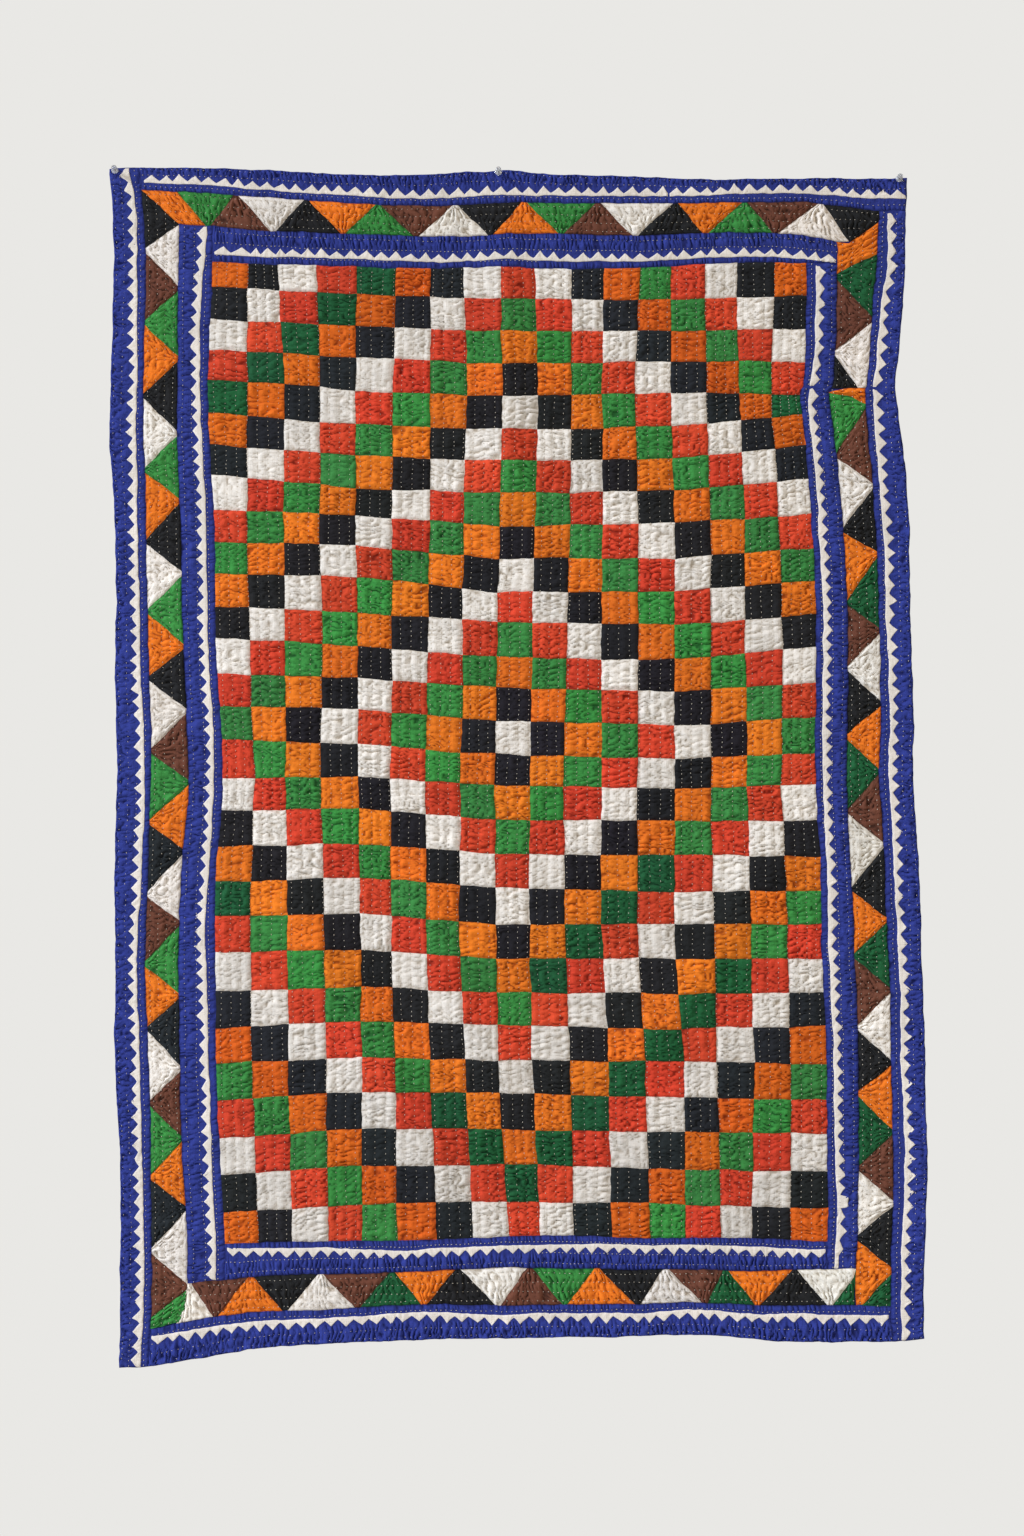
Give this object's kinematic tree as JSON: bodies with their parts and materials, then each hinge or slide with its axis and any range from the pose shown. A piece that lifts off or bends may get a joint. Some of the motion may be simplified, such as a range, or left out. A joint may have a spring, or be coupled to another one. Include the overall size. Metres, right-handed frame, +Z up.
{
  "type": "ralli quilt with push pins",
  "caption": "Patchwork ralli quilt of squares, triangle borders and blue bands with white sawtooth strips, hung flat from three clear push pins",
  "frame": {"origin": "Where the middle push pin's needle enters the wall, on the wall's plane", "axes": "+Z up; +Y into the wall; the quilt faces -Y; +X to the right as seen from in front"},
  "size_m": [1.431, 0.0287, 2.097],
  "materials": {
    "blue_cotton": "matte",
    "white_cotton": "matte",
    "pieced_cotton": "matte",
    "patched_cotton": "matte",
    "clear_plastic": "gloss",
    "pin_steel": "satin"
  },
  "bodies": {
    "root": {"field_panel": "patched_cotton", "inner_band_left": "blue_cotton", "inner_band_top": "blue_cotton", "inner_band_right": "blue_cotton", "inner_band_bottom": "blue_cotton", "inner_saw_left": "white_cotton", "inner_saw_top": "white_cotton", "inner_saw_right": "white_cotton", "inner_saw_bottom": "white_cotton", "triangle_band_left": "pieced_cotton", "triangle_band_top": "pieced_cotton", "triangle_band_right": "pieced_cotton", "triangle_band_bottom": "pieced_cotton", "outer_band_left": "blue_cotton", "outer_band_top": "blue_cotton", "outer_band_right": "blue_cotton", "outer_band_bottom": "blue_cotton", "outer_saw_left": "white_cotton", "outer_saw_top": "white_cotton", "outer_saw_right": "white_cotton", "outer_saw_bottom": "white_cotton", "pin_grip_left": "clear_plastic", "pin_grip_centre": "clear_plastic", "pin_grip_right": "clear_plastic", "pin_needle_left": "pin_steel", "pin_needle_centre": "pin_steel", "pin_needle_right": "pin_steel"}
  },
  "joints": []
}
